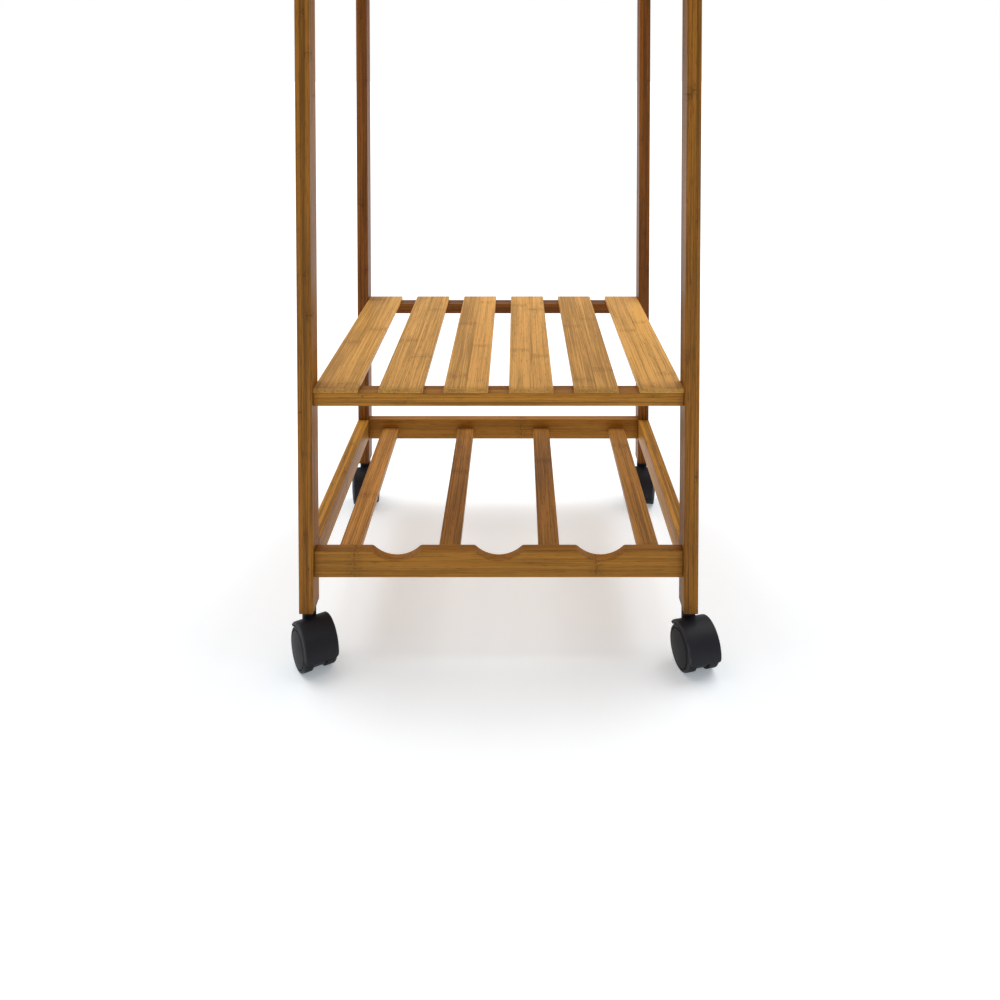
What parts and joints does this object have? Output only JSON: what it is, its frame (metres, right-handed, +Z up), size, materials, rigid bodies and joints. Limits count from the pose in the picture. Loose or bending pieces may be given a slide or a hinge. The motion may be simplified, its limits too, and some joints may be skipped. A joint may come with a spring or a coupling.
{
  "type": "rolling utility cart",
  "caption": "Open bamboo utility cart with a worktop, a slatted middle shelf and a low rack with scallops for bottles, rolling on hooded swivel casters.",
  "frame": {"origin": "on the floor, below the centre of the worktop", "axes": "+Z up; -Y is the front, with the scalloped rail; +X to the right seen from the front"},
  "size_m": [0.47, 0.44, 0.76],
  "materials": {
    "bamboo_frame": "satin lacquered carbonised bamboo",
    "bamboo_slat": "satin lacquered carbonised bamboo, lighter",
    "dowel_wood": "raw birch",
    "black_plastic": "moulded, fine texture",
    "wheel_plastic": "moulded, smooth",
    "steel": "zinc plated"
  },
  "bodies": {
    "frame": {"post_front_left": "bamboo_frame", "post_front_right": "bamboo_frame", "post_back_left": "bamboo_frame", "post_back_right": "bamboo_frame", "middle_rail_front": "bamboo_frame", "middle_rail_back": "bamboo_frame", "middle_slat_1": "bamboo_slat", "middle_slat_2": "bamboo_slat", "middle_slat_3": "bamboo_slat", "middle_slat_4": "bamboo_slat", "middle_slat_5": "bamboo_slat", "middle_slat_6": "bamboo_slat", "rack_rail_front": "bamboo_frame", "rack_rail_back": "bamboo_frame", "rack_rail_left": "bamboo_frame", "rack_rail_right": "bamboo_frame", "rack_slat_1": "bamboo_slat", "rack_slat_2": "bamboo_slat", "rack_slat_3": "bamboo_slat", "rack_slat_4": "bamboo_slat", "apron_front": "bamboo_frame", "apron_back": "bamboo_frame", "apron_left": "bamboo_frame", "apron_right": "bamboo_frame", "top_board": "bamboo_slat", "frame_dowels": "dowel_wood", "rack_slat_dowels": "dowel_wood", "slat_screws": "steel", "top_screws": "steel", "caster_front_left_socket": "black_plastic", "caster_front_left_stem": "steel", "caster_front_right_socket": "black_plastic", "caster_front_right_stem": "steel", "caster_back_left_socket": "black_plastic", "caster_back_left_stem": "steel", "caster_back_right_socket": "black_plastic", "caster_back_right_stem": "steel"},
    "caster_front_left": {"caster_front_left_hood": "black_plastic", "caster_front_left_axle": "steel"},
    "caster_front_left_wheel_left": {"caster_front_left_wheel_left": "wheel_plastic"},
    "caster_front_left_wheel_right": {"caster_front_left_wheel_right": "wheel_plastic"},
    "caster_front_right": {"caster_front_right_hood": "black_plastic", "caster_front_right_axle": "steel"},
    "caster_front_right_wheel_left": {"caster_front_right_wheel_left": "wheel_plastic"},
    "caster_front_right_wheel_right": {"caster_front_right_wheel_right": "wheel_plastic"},
    "caster_back_left": {"caster_back_left_hood": "black_plastic", "caster_back_left_axle": "steel"},
    "caster_back_left_wheel_left": {"caster_back_left_wheel_left": "wheel_plastic"},
    "caster_back_left_wheel_right": {"caster_back_left_wheel_right": "wheel_plastic"},
    "caster_back_right": {"caster_back_right_hood": "black_plastic", "caster_back_right_axle": "steel"},
    "caster_back_right_wheel_left": {"caster_back_right_wheel_left": "wheel_plastic"},
    "caster_back_right_wheel_right": {"caster_back_right_wheel_right": "wheel_plastic"}
  },
  "joints": [
    {"name": "swivel_front_left", "type": "hinge", "parent": "frame", "child": "caster_front_left", "pos_m": [-0.19275, -0.171, 0.053], "axis": [0, 0, 1], "continuous": true},
    {"name": "roll_front_left_left", "type": "hinge", "parent": "caster_front_left", "child": "caster_front_left_wheel_left", "pos_m": [-0.18523, -0.18304, 0.0215], "axis": [0.848, 0.5299, 0], "continuous": true},
    {"name": "roll_front_left_right", "type": "hinge", "parent": "caster_front_left", "child": "caster_front_left_wheel_right", "pos_m": [-0.18523, -0.18304, 0.0215], "axis": [0.848, 0.5299, 0], "continuous": true},
    {"name": "swivel_front_right", "type": "hinge", "parent": "frame", "child": "caster_front_right", "pos_m": [0.19275, -0.171, 0.053], "axis": [0, 0, 1], "continuous": true},
    {"name": "roll_front_right_left", "type": "hinge", "parent": "caster_front_right", "child": "caster_front_right_wheel_left", "pos_m": [0.19654, -0.18468, 0.0215], "axis": [0.9636, 0.2672, 0], "continuous": true},
    {"name": "roll_front_right_right", "type": "hinge", "parent": "caster_front_right", "child": "caster_front_right_wheel_right", "pos_m": [0.19654, -0.18468, 0.0215], "axis": [0.9636, 0.2672, 0], "continuous": true},
    {"name": "swivel_back_left", "type": "hinge", "parent": "frame", "child": "caster_back_left", "pos_m": [-0.19275, 0.171, 0.053], "axis": [0, 0, 1], "continuous": true},
    {"name": "roll_back_left_left", "type": "hinge", "parent": "caster_back_left", "child": "caster_back_left_wheel_left", "pos_m": [-0.1898, 0.15711, 0.0215], "axis": [0.9781, 0.2079, 0], "continuous": true},
    {"name": "roll_back_left_right", "type": "hinge", "parent": "caster_back_left", "child": "caster_back_left_wheel_right", "pos_m": [-0.1898, 0.15711, 0.0215], "axis": [0.9781, 0.2079, 0], "continuous": true},
    {"name": "swivel_back_right", "type": "hinge", "parent": "frame", "child": "caster_back_right", "pos_m": [0.19275, 0.171, 0.053], "axis": [0, 0, 1], "continuous": true},
    {"name": "roll_back_right_left", "type": "hinge", "parent": "caster_back_right", "child": "caster_back_right_wheel_left", "pos_m": [0.19028, 0.15702, 0.0215], "axis": [0.9848, -0.1736, 0], "continuous": true},
    {"name": "roll_back_right_right", "type": "hinge", "parent": "caster_back_right", "child": "caster_back_right_wheel_right", "pos_m": [0.19028, 0.15702, 0.0215], "axis": [0.9848, -0.1736, 0], "continuous": true}
  ]
}
